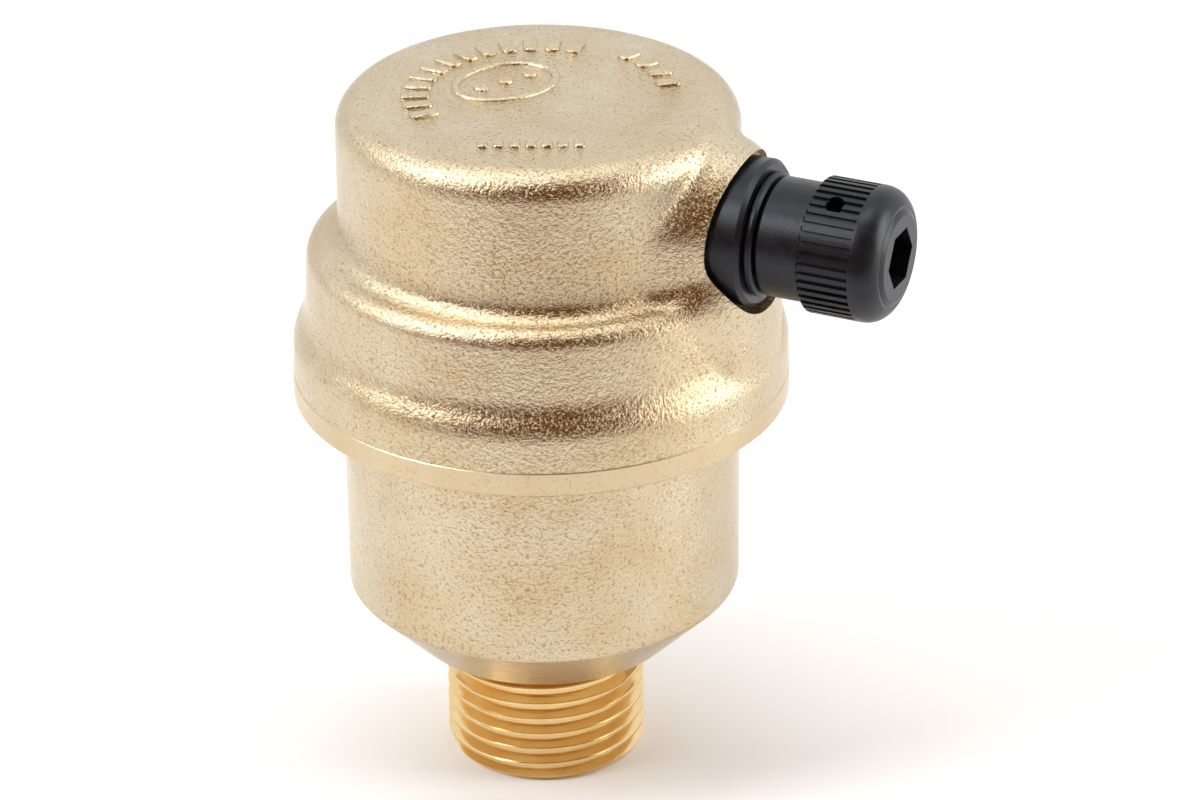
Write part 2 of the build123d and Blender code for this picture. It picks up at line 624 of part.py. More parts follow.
# ---------------------------------------------------------------- vent insert
with BuildPart() as vent_insert:
    with BuildSketch(Plane.XZ):
        with BuildLine():
            ring_front_x = RECESS_FLOOR_X + FLANGE_RING_THICKNESS
            collar_front_x = ring_front_x + COLLAR_RING_THICKNESS
            Polyline(
                (BARREL_INNER_X, VENT_Z + CHAMBER_R),
                (BARREL_INNER_X, VENT_Z + BARREL_R),
                (INSERT_SEAL_X, VENT_Z + BARREL_R),
                (INSERT_SEAL_X, VENT_Z + INSERT_SEAL_R),
                (INSERT_SEAL_X + INSERT_SEAL_WIDTH, VENT_Z + INSERT_SEAL_R),
                (INSERT_SEAL_X + INSERT_SEAL_WIDTH, VENT_Z + BARREL_R),
                (RECESS_FLOOR_X, VENT_Z + BARREL_R),
                (RECESS_FLOOR_X, VENT_Z + FLANGE_RING_R),
                (ring_front_x - FLANGE_RING_CHAMFER, VENT_Z + FLANGE_RING_R),
                (ring_front_x, VENT_Z + FLANGE_RING_R - FLANGE_RING_CHAMFER),
                (ring_front_x, VENT_Z + NECK_R),
                (collar_front_x + NECK_LENGTH, VENT_Z + NECK_R),
                (collar_front_x + NECK_LENGTH, VENT_Z + NOZZLE_R),
                (NOZZLE_END_X - NOZZLE_DEPTH, VENT_Z + NOZZLE_R),
                (NOZZLE_END_X, VENT_Z + NOZZLE_R - NOZZLE_DEPTH),
                (NOZZLE_END_X, VENT_Z + AIR_BORE_R),
                (SEAT_FACE_X + SEAT_LENGTH, VENT_Z + AIR_BORE_R),
                (SEAT_FACE_X + SEAT_LENGTH, VENT_Z + SEAT_R),
                (CHAMBER_END_X, VENT_Z + SEAT_R),
                (CHAMBER_END_X, VENT_Z + CHAMBER_R),
                close=True,
            )
        make_face()
    revolve(axis=VENT_AXIS)
    # two ears that carry the lever's pivot
    for side in (-1, 1):
        ear_y = side * (EAR_INNER_Y + EAR_THICKNESS / 2)
        with BuildSketch(Plane(origin=(0, ear_y, VENT_Z), x_dir=(1, 0, 0), z_dir=(0, -1, 0))):
            with BuildLine():
                Polyline(
                    (BARREL_INNER_X, EAR_TOP),
                    (BARREL_INNER_X, -EAR_DROP),
                    (EAR_END_X, -EAR_DROP),
                    (EAR_END_X, -EAR_DROP + EAR_TIP_HEIGHT),
                    (BARREL_INNER_X - EAR_TOP, EAR_TOP),
                    close=True,
                )
            make_face()
            with Locations((PIVOT_X, -SHORT_ARM)):
                Circle(PIN_R, mode=Mode.SUBTRACT)
        extrude(amount=EAR_THICKNESS / 2, both=True)
    # rings of the cap's thread
    thread_start_x = ring_front_x + COLLAR_RING_THICKNESS + NECK_LENGTH + NOZZLE_PITCH
    thread_count = int((NOZZLE_END_X - thread_start_x) / NOZZLE_PITCH)
    for index in range(thread_count):
        groove_x = thread_start_x + index * NOZZLE_PITCH
        with BuildSketch(Plane.XZ):
            with BuildLine():
                Polyline(
                    (groove_x - NOZZLE_GROOVE_HALF, VENT_Z + NOZZLE_R + GROOVE_OVERSHOOT / 2),
                    (groove_x, VENT_Z + NOZZLE_R - NOZZLE_DEPTH),
                    (groove_x + NOZZLE_GROOVE_HALF, VENT_Z + NOZZLE_R + GROOVE_OVERSHOOT / 2),
                    close=True,
                )
            make_face()
        revolve(axis=VENT_AXIS, mode=Mode.SUBTRACT)
finish(vent_insert.part, "vent_insert")

with BuildPart() as insert_o_ring:
    with BuildSketch(Plane.XZ):
        with Locations((INSERT_SEAL_X + INSERT_SEAL_WIDTH / 2, VENT_Z + (INSERT_SEAL_R + BOSS_BORE_R) / 2)):
            Ellipse(INSERT_SEAL_WIDTH / 2 - SEAL_GAP, (BOSS_BORE_R - INSERT_SEAL_R) / 2 - SEAL_GAP)
    revolve(axis=VENT_AXIS)
finish(insert_o_ring.part, "insert_o_ring")

with BuildPart() as collar_ring:
    with BuildSketch(vent_station(RECESS_FLOOR_X + FLANGE_RING_THICKNESS)):
        Circle(COLLAR_RING_R)
        Circle(NECK_R, mode=Mode.SUBTRACT)
    extrude(amount=COLLAR_RING_THICKNESS)
    rims = collar_ring.edges().filter_by(GeomType.CIRCLE)
    outer_rim = [e for e in rims if abs(e.radius - COLLAR_RING_R) < SELECT_GAP]
    chamfer(outer_rim, COLLAR_RING_CHAMFER)
finish(collar_ring.part, "collar_ring")

# ---------------------------------------------------------------- vent cap
with BuildPart() as vent_cap:
    with BuildSketch(Plane.XZ):
        with BuildLine():
            bore_r = NOZZLE_R + CAP_THREAD_CLEARANCE
            Line((CAP_START_X, VENT_Z + bore_r), (CAP_START_X, VENT_Z + CAP_SKIRT_R - CAP_EDGE))
            Line(
                (CAP_START_X, VENT_Z + CAP_SKIRT_R - CAP_EDGE),
                (CAP_START_X + CAP_EDGE, VENT_Z + CAP_SKIRT_R),
            )
            Line((CAP_START_X + CAP_EDGE, VENT_Z + CAP_SKIRT_R), (CAP_HEAD_X, VENT_Z + CAP_SKIRT_R))
            Line((CAP_HEAD_X, VENT_Z + CAP_SKIRT_R), (CAP_HEAD_X, VENT_Z + CAP_HEAD_R - CAP_EDGE))
            Line((CAP_HEAD_X, VENT_Z + CAP_HEAD_R - CAP_EDGE), (CAP_HEAD_X + CAP_EDGE, VENT_Z + CAP_HEAD_R))
            Line((CAP_HEAD_X + CAP_EDGE, VENT_Z + CAP_HEAD_R), (CAP_KNURL_END_X, VENT_Z + CAP_HEAD_R))
            RadiusArc(
                (CAP_KNURL_END_X, VENT_Z + CAP_HEAD_R),
                (CAP_FACE_X - CAP_DOME_HEIGHT, VENT_Z + CAP_DOME_R + CAP_DOME_HEIGHT),
                CAP_SHOULDER_R,
            )
            Line(
                (CAP_FACE_X - CAP_DOME_HEIGHT, VENT_Z + CAP_DOME_R + CAP_DOME_HEIGHT),
                (CAP_FACE_X - CAP_DOME_HEIGHT, VENT_Z + CAP_DOME_R),
            )
            RadiusArc(
                (CAP_FACE_X - CAP_DOME_HEIGHT, VENT_Z + CAP_DOME_R),
                (CAP_FACE_X, VENT_Z + CAP_DOME_R - 2 * CAP_DOME_HEIGHT),
                CAP_SHOULDER_R,
            )
            Polyline(
                (CAP_FACE_X, VENT_Z + CAP_DOME_R - 2 * CAP_DOME_HEIGHT),
                (CAP_FACE_X, VENT_Z),
                (CAP_CHAMBER_TOP_X, VENT_Z),
                (CAP_CHAMBER_TOP_X, VENT_Z + bore_r),
                (CAP_START_X, VENT_Z + bore_r),
            )
        make_face()
    revolve(axis=VENT_AXIS)
    # straight knurl
    with BuildSketch(vent_station(CAP_HEAD_X - CAP_EDGE)):
        with PolarLocations(CAP_HEAD_R, KNURL_COUNT):
            Rectangle(2 * KNURL_DEPTH, KNURL_WIDTH)
    extrude(amount=CAP_KNURL_END_X - CAP_HEAD_X, mode=Mode.SUBTRACT)
    # hexagon socket with a countersunk mouth
    with BuildSketch(vent_station(CAP_FACE_X - HEX_DEPTH)):
        RegularPolygon(HEX_ACROSS_FLATS / 2, 6, major_radius=False)
    extrude(amount=HEX_DEPTH, mode=Mode.SUBTRACT)
    # outlet hole, square to the cap's axis
    hole_turn = math.radians(CAP_HOLE_TURN)
    outlet_plane = Plane(
        origin=(CAP_HOLE_X, 0, VENT_Z), x_dir=(1, 0, 0), z_dir=(0, math.sin(hole_turn), math.cos(hole_turn))
    )
    with BuildSketch(outlet_plane):
        Circle(CAP_HOLE_R)
    extrude(amount=CAP_HEAD_R + 1, mode=Mode.SUBTRACT)
finish(vent_cap.part, "vent_cap")

with BuildPart() as cap_gasket:
    with BuildSketch(vent_station(NOZZLE_END_X)):
        Circle(CAP_GASKET_R)
    extrude(amount=CAP_CHAMBER_TOP_X - NOZZLE_END_X)
finish(cap_gasket.part, "cap_gasket")
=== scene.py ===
"""Looks of the automatic air vent: cast and turned brass, black plastic vent head, studio."""
import json
import math

import bmesh
import bpy
import numpy as np
from mathutils import Matrix, Vector


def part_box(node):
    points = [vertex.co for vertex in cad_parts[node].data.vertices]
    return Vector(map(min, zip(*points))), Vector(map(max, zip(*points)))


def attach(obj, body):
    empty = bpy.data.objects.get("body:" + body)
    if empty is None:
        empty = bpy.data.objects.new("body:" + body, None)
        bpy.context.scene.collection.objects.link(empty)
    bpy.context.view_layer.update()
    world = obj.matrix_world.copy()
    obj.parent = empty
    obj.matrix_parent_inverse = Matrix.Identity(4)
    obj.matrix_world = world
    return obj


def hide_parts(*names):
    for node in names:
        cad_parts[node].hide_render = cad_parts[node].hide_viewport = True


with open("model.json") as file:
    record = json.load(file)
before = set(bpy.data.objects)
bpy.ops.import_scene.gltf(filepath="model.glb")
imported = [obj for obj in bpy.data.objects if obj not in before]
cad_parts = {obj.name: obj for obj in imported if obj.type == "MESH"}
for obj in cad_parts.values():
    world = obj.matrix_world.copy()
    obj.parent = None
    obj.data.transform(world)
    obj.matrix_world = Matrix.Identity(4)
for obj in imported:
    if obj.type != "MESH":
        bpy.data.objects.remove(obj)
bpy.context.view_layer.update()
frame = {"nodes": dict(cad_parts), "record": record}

MM = 0.001
NODES = frame["nodes"]


def high(node):
    """Highest corner of a CAD node."""
    return Vector(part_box(node)[1])


def low(node):
    """Lowest corner of a CAD node."""
    return Vector(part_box(node)[0])


# places that the frame gives
JOINT_Z = low("cover").z
TOP_Z = high("cover").z
VENT_Z = (low("vent_cap").z + high("vent_cap").z) / 2

# ---------------------------------------------------------------- node helpers


def new_material(name):
    """A fresh node material and its Principled shader."""
    mat = bpy.data.materials.new(name)
    mat.use_nodes = True
    return mat, mat.node_tree, mat.node_tree.nodes["Principled BSDF"]


def node(tree, kind, **values):
    """Adds a node; a value goes to a property, or to an input socket of that name."""
    made = tree.nodes.new(kind)
    for key, value in values.items():
        if hasattr(made, key):
            setattr(made, key, value)
        else:
            made.inputs[key.replace("_", " ")].default_value = value
    return made


def noise(tree, coords, scale, detail, roughness):
    """A noise texture on object coordinates; scale is in features per metre."""
    made = node(tree, "ShaderNodeTexNoise", Scale=scale, Detail=detail, Roughness=roughness)
    tree.links.new(coords, made.inputs["Vector"])
    return made.outputs["Fac"]


def ramp(tree, fac, stops):
    """A colour ramp of (position, colour) stops on a factor."""
    made = tree.nodes.new("ShaderNodeValToRGB")
    elements = made.color_ramp.elements
    while len(elements) < len(stops):
        elements.new(0.5)
    for element, (position, colour) in zip(elements, stops):
        element.position = position
        element.color = (*colour, 1)
    tree.links.new(fac, made.inputs["Fac"])
    return made.outputs["Color"]


def math_node(tree, operation, first, second):
    """A math node on sockets or numbers."""
    made = node(tree, "ShaderNodeMath", operation=operation)
    for socket, value in zip(made.inputs, (first, second)):
        if isinstance(value, (int, float)):
            socket.default_value = value
        else:
            tree.links.new(value, socket)
    return made.outputs[0]


def mix(tree, kind, fac, first, second):
    """Mixes two colours or numbers by a factor."""
    made = node(tree, "ShaderNodeMix", data_type=kind)
    index = {"FLOAT": (0, 2, 3), "RGBA": (0, 6, 7)}[kind]
    for place, value in zip(index, (fac, first, second)):
        if isinstance(value, (int, float)):
            made.inputs[place].default_value = value
        elif isinstance(value, tuple):
            made.inputs[place].default_value = (*value, 1)
        else:
            tree.links.new(value, made.inputs[place])
    return made.outputs[0 if kind == "FLOAT" else 2]


def bump(tree, height, strength, distance):
    """A bump node on a height."""
    made = node(tree, "ShaderNodeBump", Strength=strength, Distance=distance)
    tree.links.new(height, made.inputs["Height"])
    return made.outputs["Normal"]


# ---------------------------------------------------------------- materials
# noise scales are in features per metre, bump distances in metres
CAST_COLOUR = (0.61, 0.49, 0.305)
CAST_DARK = (0.26, 0.15, 0.06)
CAST_PALE = (0.69, 0.60, 0.435)
TURNED_COLOUR = (0.82, 0.63, 0.34)
TURNED_STAIN = (0.76, 0.52, 0.23)
GRAIN_SCALE = 2300
GRAIN_DEPTH = 0.00013
FINE_SCALE = 5200
PIT_SCALE = 3300
CLOUD_SCALE = 120
BAND_ROUGHNESS = 0.33
BAND_SMOOTHNESS = 0.75
BAND_TINT = 0.4


def cast_layers(tree, coords):
    """Colour, roughness and normal of sand cast, bead blasted brass."""
    grain = noise(tree, coords, GRAIN_SCALE, 4.0, 0.62)
    fine = noise(tree, coords, FINE_SCALE, 3.0, 0.6)
    broad = noise(tree, coords, CLOUD_SCALE, 3.0, 0.55)
    pits = noise(tree, coords, PIT_SCALE, 2.0, 0.5)
    tone = ramp(tree, broad, [(0.3, CAST_COLOUR), (0.7, CAST_PALE)])
    tone = mix(tree, "RGBA", math_node(tree, "MULTIPLY", fine, 0.25), tone, CAST_DARK)
    speck = ramp(tree, pits, [(0.33, (1, 1, 1)), (0.40, (0, 0, 0))])
    colour = mix(tree, "RGBA", math_node(tree, "MULTIPLY", speck, 0.45), tone, CAST_DARK)
    rough = math_node(tree, "ADD", math_node(tree, "MULTIPLY", fine, 0.12), 0.12)
    height = math_node(tree, "ADD", math_node(tree, "MULTIPLY", fine, 0.30), grain)
    height = math_node(tree, "SUBTRACT", height, math_node(tree, "MULTIPLY", speck, 0.25))
    normal = bump(tree, height, 1.0, GRAIN_DEPTH)
    return colour, rough, normal


def cast_brass():
    """Cast brass all over."""
    mat, tree, shader = new_material("cast_brass")
    coords = node(tree, "ShaderNodeTexCoord").outputs["Object"]
    colour, rough, normal = cast_layers(tree, coords)
    shader.inputs["Metallic"].default_value = 1.0
    tree.links.new(colour, shader.inputs["Base Color"])
    tree.links.new(rough, shader.inputs["Roughness"])
    tree.links.new(normal, shader.inputs["Normal"])
    return mat


def turned_layers(tree, coords):
    """Colour, roughness and normal of brass fresh from the lathe."""
    split = node(tree, "ShaderNodeSeparateXYZ")
    tree.links.new(coords, split.inputs[0])
    lines = node(tree, "ShaderNodeTexNoise", noise_dimensions="1D", Scale=9000.0, Detail=3.0)
    tree.links.new(split.outputs["Z"], lines.inputs["W"])
    stain = noise(tree, coords, 300, 4.0, 0.6)
    colour = ramp(tree, stain, [(0.3, TURNED_STAIN), (0.7, TURNED_COLOUR)])
    rough = math_node(tree, "ADD", math_node(tree, "MULTIPLY", stain, 0.12), 0.12)
    normal = bump(tree, lines.outputs["Fac"], 0.25, 0.00002)
    return colour, rough, normal


def body_brass(thread_top, thread_radius, band_low):
    """Cast brass with a turned thread below and a smooth turned band at the joint."""
    mat, tree, shader = new_material("body_brass")
    coords = node(tree, "ShaderNodeTexCoord").outputs["Object"]
    split = node(tree, "ShaderNodeSeparateXYZ")
    tree.links.new(coords, split.inputs[0])
    cast_colour, cast_rough, cast_normal = cast_layers(tree, coords)
    turned_colour, turned_rough, turned_normal = turned_layers(tree, coords)
    flat = node(tree, "ShaderNodeVectorMath", operation="MULTIPLY")
    flat.inputs[1].default_value = (1, 1, 0)
    tree.links.new(coords, flat.inputs[0])
    radius = node(tree, "ShaderNodeVectorMath", operation="LENGTH")
    tree.links.new(flat.outputs[0], radius.inputs[0])
    below = math_node(tree, "LESS_THAN", split.outputs["Z"], thread_top)
    slim = math_node(tree, "LESS_THAN", radius.outputs["Value"], thread_radius)
    thread = math_node(tree, "MULTIPLY", below, slim)
    above = math_node(tree, "GREATER_THAN", split.outputs["Z"], band_low)
    band = math_node(tree, "MULTIPLY", above, BAND_TINT)
    colour = mix(tree, "RGBA", thread, cast_colour, turned_colour)
    colour = mix(tree, "RGBA", band, colour, CAST_COLOUR)
    rough = mix(tree, "FLOAT", thread, cast_rough, turned_rough)
    rough = mix(tree, "FLOAT", above, rough, BAND_ROUGHNESS)
    fine_grain = bump(tree, noise(tree, coords, 6000, 2.0, 0.5), 0.35, 0.00003)
    smooth = math_node(tree, "MULTIPLY", above, BAND_SMOOTHNESS)
    normal_mix = mix(tree, "RGBA", thread, cast_normal, turned_normal)
    normal_mix = mix(tree, "RGBA", smooth, normal_mix, fine_grain)
    shader.inputs["Metallic"].default_value = 1.0
    tree.links.new(colour, shader.inputs["Base Color"])
    tree.links.new(rough, shader.inputs["Roughness"])
    tree.links.new(normal_mix, shader.inputs["Normal"])
    return mat


def black_plastic():
    """Satin black nylon with a faint moulded grain and dusty scuffs."""
    mat, tree, shader = new_material("black_plastic")
    coords = node(tree, "ShaderNodeTexCoord").outputs["Object"]
    grain = noise(tree, coords, 5200, 3.0, 0.6)
    scuff = noise(tree, coords, 420, 5.0, 0.65)
    colour = ramp(tree, scuff, [(0.35, (0.004, 0.0045, 0.006)), (0.75, (0.012, 0.013, 0.018))])
    rough = math_node(tree, "ADD", math_node(tree, "MULTIPLY", scuff, 0.20), 0.24)
    shader.inputs["Specular IOR Level"].default_value = 0.4
    shader.inputs["Specular Tint"].default_value = (0.86, 0.90, 1.0, 1)
    tree.links.new(colour, shader.inputs["Base Color"])
    tree.links.new(rough, shader.inputs["Roughness"])
    tree.links.new(bump(tree, grain, 0.35, 0.00004), shader.inputs["Normal"])
    return mat


def plain_plastic(name, colour, roughness):
    """Natural moulded plastic for the inner parts."""
    mat, tree, shader = new_material(name)
    coords = node(tree, "ShaderNodeTexCoord").outputs["Object"]
    cloud = noise(tree, coords, 260, 3.0, 0.5)
    pale = tuple(min(1.0, channel * 1.06) for channel in colour)
    tree.links.new(ramp(tree, cloud, [(0.3, colour), (0.7, pale)]), shader.inputs["Base Color"])
    grain = noise(tree, coords, 4200, 2.0, 0.5)
    shader.inputs["Roughness"].default_value = roughness
    shader.inputs["Subsurface Weight"].default_value = 0.15
    shader.inputs["Subsurface Scale"].default_value = 0.001
    tree.links.new(bump(tree, grain, 0.2, 0.00003), shader.inputs["Normal"])
    return mat


def rubber():
    """Matt black moulded rubber."""
    mat, tree, shader = new_material("rubber")
    coords = node(tree, "ShaderNodeTexCoord").outputs["Object"]
    cloud = noise(tree, coords, 900, 4.0, 0.6)
    colour = ramp(tree, cloud, [(0.3, (0.012, 0.012, 0.012)), (0.7, (0.03, 0.03, 0.03))])
    tree.links.new(colour, shader.inputs["Base Color"])
    shader.inputs["Roughness"].default_value = 0.75
    tree.links.new(bump(tree, cloud, 0.3, 0.00004), shader.inputs["Normal"])
    return mat


def steel():
    """Drawn stainless steel wire and pins."""
    mat, tree, shader = new_material("steel")
    coords = node(tree, "ShaderNodeTexCoord").outputs["Object"]
    streak = noise(tree, coords, 1800, 4.0, 0.6)
    colour = ramp(tree, streak, [(0.3, (0.52, 0.52, 0.53)), (0.7, (0.70, 0.70, 0.71))])
    tree.links.new(colour, shader.inputs["Base Color"])
    shader.inputs["Metallic"].default_value = 1.0
    shader.inputs["Roughness"].default_value = 0.28
    tree.links.new(bump(tree, streak, 0.2, 0.00002), shader.inputs["Normal"])
    return mat


def turned_brass():
    """Turned brass all over, for the valve seat."""
    mat, tree, shader = new_material("turned_brass")
    coords = node(tree, "ShaderNodeTexCoord").outputs["Object"]
    colour, rough, normal = turned_layers(tree, coords)
    shader.inputs["Metallic"].default_value = 1.0
    tree.links.new(colour, shader.inputs["Base Color"])
    tree.links.new(rough, shader.inputs["Roughness"])
    tree.links.new(normal, shader.inputs["Normal"])
    return mat


THREAD_R = 10.9 * MM
SHOULDER_Z = frame["record"]["mounts"][2]["pos_m"][2]
BAND_LOW_Z = JOINT_Z - 2.65 * MM
finishes = {
    "cast_brass": cast_brass(),
    "black_plastic": black_plastic(),
    "float_plastic": plain_plastic("float_plastic", (0.80, 0.80, 0.74), 0.42),
    "white_plastic": plain_plastic("white_plastic", (0.82, 0.82, 0.80), 0.38),
    "rubber": rubber(),
    "steel": steel(),
    "machined_brass": turned_brass(),
}
for entry in frame["record"]["subparts"]:
    NODES[entry["node"]].data.materials.clear()
    NODES[entry["node"]].data.materials.append(finishes[entry["material_slot"]])
NODES["lower_body"].data.materials[0] = body_brass(SHOULDER_Z, THREAD_R, BAND_LOW_Z)

# ---------------------------------------------------------------- cover with cast blends
# The CAD cover has sharp inner corners beside its boss. This mesh has soft cast fillets there, nearly
# the same outline, and the same hollow, recess and bore. Lengths here are in millimetres. A tier
# gives its upper and lower end as (radius, height), and so do the points of the hollow.
TIER_1 = ((20.6, 71.7), (20.63, 61.3))
TIER_2 = ((23.95, 57.4), (24.2, 52.5))
TIER_3 = ((25.6, 47.8), (25.65, 44.9))
# share of a step that is its hollow arc
STEP_HOLLOW = 0.5
TOP_ROUND = 3.1
LOBE_HALF = 9.3
LOBE_FACE = 25.4
LOBE_ROUND = 5.2
LOBE_START = 8.5
MARK_RISE = 0.3
RECESS_RADIUS = 8.2
RECESS_FLOOR = 21.8
BOSS_BORE_RADIUS = 6.05
BOSS_BORE_START = 11.9
HOLLOW = (
    (22.96, 44.9), (22.96, 51.06), (21.2, 51.06), (21.2, 55.0), (17.8, 58.9), (17.8, 69.6), (15.2, 72.2),
)
# radius of the soft fillet between the round wall and the boss at each height
BLEND_HEIGHTS = (48.0, 50.0, 53.0, 56.0, 60.0, 66.0, 69.0, 72.0)
BLEND_RADII = (0.05, 0.25, 0.7, 2.0, 3.2, 3.0, 1.6, 1.0)
# radii between which the outer surface is searched, and the search's step
FAR_OUT = 31.0
NEAR_IN = 14.0
SEARCH_STEP = 0.35
# degrees either side of the boss with the fine mesh, and both meshes' steps
FINE_SPAN = 42
FINE_STEP = 0.7
COARSE_STEP = 2.0
TOP_RING_SHARES = (0.8, 0.5, 0.2)
# heights between rows on a tier, and points on the top edge and on each step
ROW_GAP = 0.5
TOP_ROUND_POINTS = 12
STEP_1_POINTS = 9
STEP_2_POINTS = 7
HALVINGS = 18
BELOW_COVER = 30.0
CUTTER_END = 30.0
CUTTER_SIDES = 96
TOP = TOP_Z / MM - MARK_RISE
VENT = VENT_Z / MM


def step_arcs(start, end, steps):
    """Points of a step from start to end: a hollow arc, then a round one, both tangent."""
    width = end[0] - start[0]
    height = start[1] - end[1]
    both = (height ** 2 / width + width) / 2
    swing = math.asin(height / both)
    hollow, rounded = both * STEP_HOLLOW, both * (1 - STEP_HOLLOW)
    points = []
    for step in range(1, steps + 1):
        turn = swing * step / steps
        points.append((start[0] + hollow * (1 - math.cos(turn)), start[1] - hollow * math.sin(turn)))
    for step in range(steps - 1, 0, -1):
        turn = swing * step / steps
        points.append((end[0] - rounded * (1 - math.cos(turn)), end[1] + rounded * math.sin(turn)))
    return points


def run(start, end, step):
    """Points from start towards end, about step apart, without the end."""
    count = max(1, round(math.dist(start, end) / step))
    return [tuple(a + (b - a) * index / count for a, b in zip(start, end)) for index in range(count)]


def cover_profile():
    """The cover's outer section from the top edge's start down to the joint, as (radius, height)."""
    points = []
    centre = (TIER_1[0][0] - TOP_ROUND, TOP - TOP_ROUND)
    for step in range(TOP_ROUND_POINTS):
        turn = math.radians(90 - 90 * step / TOP_ROUND_POINTS)
        points.append((centre[0] + TOP_ROUND * math.cos(turn), centre[1] + TOP_ROUND * math.sin(turn)))
    points += run((TIER_1[0][0], centre[1]), TIER_1[1], ROW_GAP)
    points += [TIER_1[1]] + step_arcs(TIER_1[1], TIER_2[0], STEP_1_POINTS)
    points += run(TIER_2[0], TIER_2[1], ROW_GAP)
    points += [TIER_2[1]] + step_arcs(TIER_2[1], TIER_3[0], STEP_2_POINTS)
    points += run(TIER_3[0], TIER_3[1], ROW_GAP)
    points.append(TIER_3[1])
    return points


def round_distance(rho, z, profile):
    """Signed distance to the turned outline, negative inside."""
    line = np.array([(0.0, TOP)] + profile + [(profile[-1][0], BELOW_COVER)])
    best = np.full(rho.shape, 1e9)
    for (x0, z0), (x1, z1) in zip(line[:-1], line[1:]):
        dx, dz = x1 - x0, z1 - z0
        along = np.clip(((rho - x0) * dx + (z - z0) * dz) / (dx * dx + dz * dz), 0, 1)
        best = np.minimum(best, np.hypot(rho - x0 - along * dx, z - z0 - along * dz))
    outline = np.interp(-z, -line[1:, 1], line[1:, 0])
    inside = (rho < outline) & (z < TOP)
    return np.where(inside, -best, best)


def lobe_distance(x, y, z):
    """Signed distance to the boss lobe, an upright arch cut by a cylinder round the body's axis."""
    arch = np.where(z > VENT, np.hypot(y, z - VENT), np.abs(y)) - LOBE_HALF
    face = np.hypot(x, y) - LOBE_FACE
    a, b = np.maximum(arch + LOBE_ROUND, 0), np.maximum(face + LOBE_ROUND, 0)
    rounded = np.minimum(-LOBE_ROUND, np.maximum(arch, face)) + np.hypot(a, b)
    return np.maximum(rounded, LOBE_START - x)


def cover_distance(x, y, z, profile):
    """Outline and lobe joined with a fillet that is wide beside the boss and narrow on the skirt."""
    first = round_distance(np.hypot(x, y), z, profile)
    second = lobe_distance(x, y, z)
    fillet = np.interp(z, BLEND_HEIGHTS, BLEND_RADII)
    a, b = np.maximum(fillet - first, 0), np.maximum(fillet - second, 0)
    return np.maximum(fillet, np.minimum(first, second)) - np.hypot(a, b)


def cover_radius(angles, heights, profile):
    """Outermost radius of the joined shape for every angle (rows) and height (columns)."""
    cos, sin = np.cos(angles)[:, None], np.sin(angles)[:, None]
    z = np.broadcast_to(heights[None, :], (len(angles), len(heights)))
    outer = np.full(z.shape, FAR_OUT)
    inner = np.full(z.shape, NEAR_IN)
    found = np.zeros(z.shape, bool)
    previous = outer.copy()
    for rho in np.arange(FAR_OUT, NEAR_IN, -SEARCH_STEP):
        inside = cover_distance(rho * cos, rho * sin, z, profile) < 0
        new = inside & ~found
        outer[new], inner[new] = previous[new], rho
        found |= inside
        previous[:] = rho
    for _ in range(HALVINGS):
        middle = (outer + inner) / 2
        inside = cover_distance(middle * cos, middle * sin, z, profile) < 0
        inner = np.where(inside, middle, inner)
        outer = np.where(inside, outer, middle)
    return (outer + inner) / 2


def revolved(name, points, steps, axis_start, axis_direction, side):
    """A closed turned solid from (radius, distance along the axis) points that start and end on the axis."""
    mesh = bmesh.new()
    rings = []
    for radius, distance in points:
        middle = axis_start + axis_direction * distance
        if radius == 0:
            rings.append([mesh.verts.new(middle)])
            continue
        other = axis_direction.cross(side)
        ring = []
        for step in range(steps):
            turn = 2 * math.pi * step / steps
            ring.append(mesh.verts.new(middle + (side * math.cos(turn) + other * math.sin(turn)) * radius))
        rings.append(ring)
    for first, second in zip(rings[:-1], rings[1:]):
        for step in range(steps):
            after = (step + 1) % steps
            if len(first) == 1:
                mesh.faces.new((first[0], second[step], second[after]))
            elif len(second) == 1:
                mesh.faces.new((first[step], second[0], first[after]))
            else:
                mesh.faces.new((first[step], second[step], second[after], first[after]))
    bmesh.ops.recalc_face_normals(mesh, faces=mesh.faces)
    return as_object(mesh, name)


def as_object(mesh, name):
    """A bmesh becomes a linked object."""
    data = bpy.data.meshes.new(name)
    mesh.to_mesh(data)
    mesh.free()
    made = bpy.data.objects.new(name, data)
    bpy.context.collection.objects.link(made)
    return made


def apply_modifiers(obj):
    """Bakes an object's modifiers into its mesh."""
    bpy.context.view_layer.update()
    graph = bpy.context.evaluated_depsgraph_get()
    mesh = bpy.data.meshes.new_from_object(obj.evaluated_get(graph))
    obj.modifiers.clear()
    obj.data = mesh


def cut(obj, cutter):
    """Takes a cutter out of an object and removes the cutter."""
    boolean = obj.modifiers.new("cut", "BOOLEAN")
    boolean.object = cutter
    boolean.operation = "DIFFERENCE"
    boolean.solver = "EXACT"
    apply_modifiers(obj)
    bpy.data.objects.remove(cutter)


